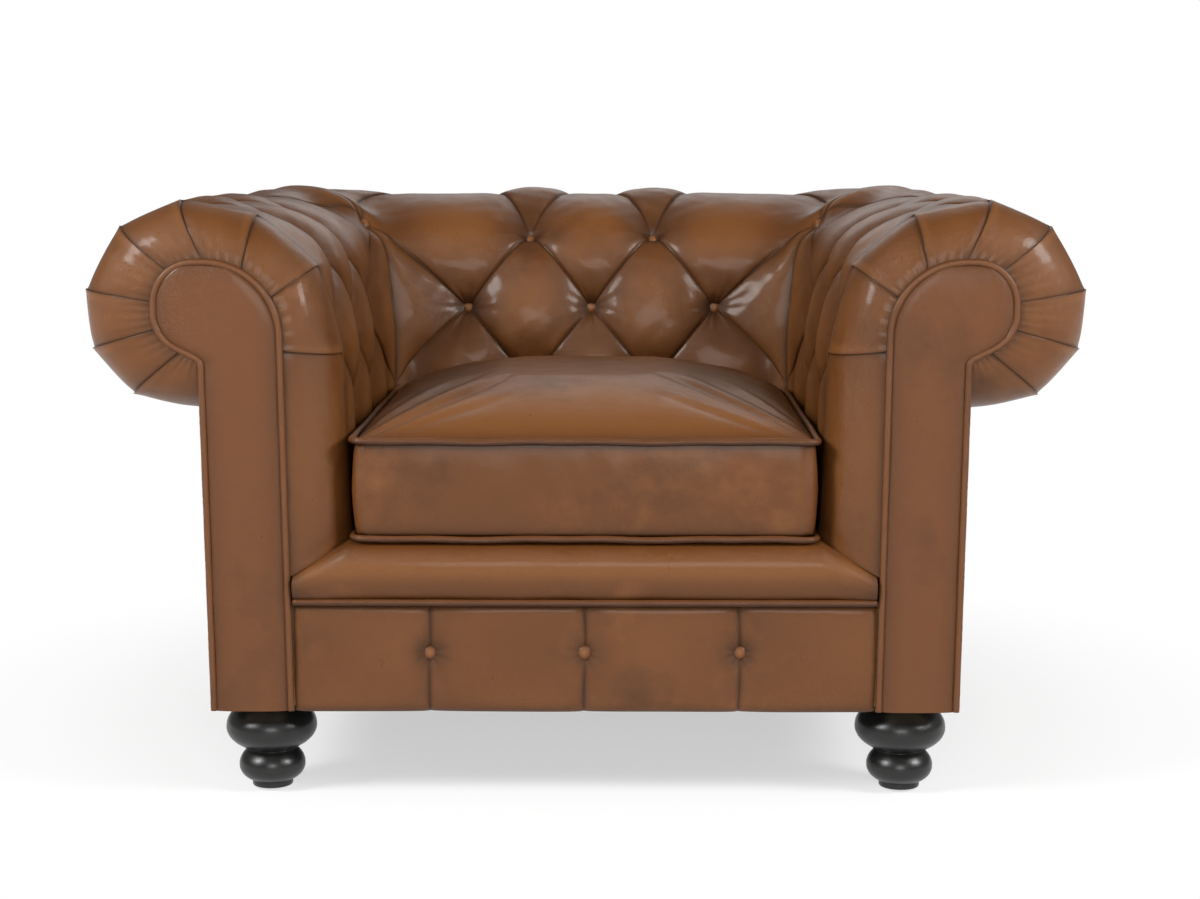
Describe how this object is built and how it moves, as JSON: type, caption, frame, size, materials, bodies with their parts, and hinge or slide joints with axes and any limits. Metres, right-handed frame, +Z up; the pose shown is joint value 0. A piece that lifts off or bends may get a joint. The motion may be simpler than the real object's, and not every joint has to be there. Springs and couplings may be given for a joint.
{
  "type": "chesterfield armchair",
  "caption": "Low armchair with rolled arms and back of one height, diamond-tufted brown leather, a loose box cushion, pleated scroll fronts and turned black feet.",
  "frame": {"origin": "on the floor, under the middle of the bounding box", "axes": "+Z up, -Y the way the sitter faces, +X to the right of someone who looks at the chair's front"},
  "size_m": [1.2, 0.9221, 0.726],
  "materials": {
    "leather": "semi-gloss, antiqued",
    "piping_leather": "semi-gloss",
    "button_leather": "semi-gloss",
    "timber": "planed, raw",
    "plywood": "raw",
    "stuffing": "matte",
    "webbing": "matte",
    "black_wood": "satin lacquer",
    "spring_steel": "oiled",
    "zinc_steel": "zinc",
    "deck_cloth": "matte",
    "dust_cloth": "matte",
    "foam": "matte",
    "glide_plastic": "matte",
    "zip_tape": "matte",
    "zip_metal": "antique"
  },
  "bodies": {
    "chair": {"back_cover": "leather", "front_border_cover": "leather", "front_rail_panel": "leather", "outside_back_panel": "leather", "left_arm_cover": "leather", "left_pleated_band": "leather", "left_arm_facing": "leather", "right_arm_cover": "leather", "right_pleated_band": "leather", "right_arm_facing": "leather", "outside_left_arm_panel": "leather", "outside_right_arm_panel": "leather", "front_rail_piping": "piping_leather", "left_facing_piping": "piping_leather", "right_facing_piping": "piping_leather", "back_buttons": "button_leather", "front_rail_buttons": "button_leather", "left_arm_buttons": "button_leather", "right_arm_buttons": "button_leather", "front_rail": "timber", "back_rail": "timber", "corner_blocks": "timber", "back_top_rail": "timber", "back_tack_rail": "timber", "left_side_rail": "timber", "left_front_post": "timber", "left_back_post": "timber", "left_arm_top_rail": "timber", "left_arm_tack_rail": "timber", "right_side_rail": "timber", "right_front_post": "timber", "right_back_post": "timber", "right_arm_top_rail": "timber", "right_arm_tack_rail": "timber", "left_scroll_board": "plywood", "right_scroll_board": "plywood", "back_filling": "stuffing", "left_arm_filling": "stuffing", "right_arm_filling": "stuffing", "front_border_pad": "stuffing", "back_webbing": "webbing", "left_arm_webbing": "webbing", "right_arm_webbing": "webbing", "front_left_foot": "black_wood", "front_right_foot": "black_wood", "back_left_foot": "black_wood", "back_right_foot": "black_wood", "seat_springs": "spring_steel", "spring_clips": "zinc_steel", "corner_block_screws": "zinc_steel", "foot_bolts": "zinc_steel", "seat_deck": "deck_cloth", "dust_cover": "dust_cloth", "foot_glides": "glide_plastic"},
    "seat_cushion": {"cushion_cover": "leather", "cushion_core": "foam", "cushion_top_piping": "piping_leather", "cushion_bottom_piping": "piping_leather", "cushion_zip": "zip_tape"},
    "zip_slider": {"cushion_zip_slider": "zip_metal"}
  },
  "joints": [
    {"name": "cushion_lift", "type": "slide", "parent": "chair", "child": "seat_cushion", "axis": [0, 0, 1], "range_m": [0, 0.42]},
    {"name": "zip_slide", "type": "slide", "parent": "seat_cushion", "child": "zip_slider", "axis": [-1, 0, 0], "range_m": [0, 0.464]}
  ]
}
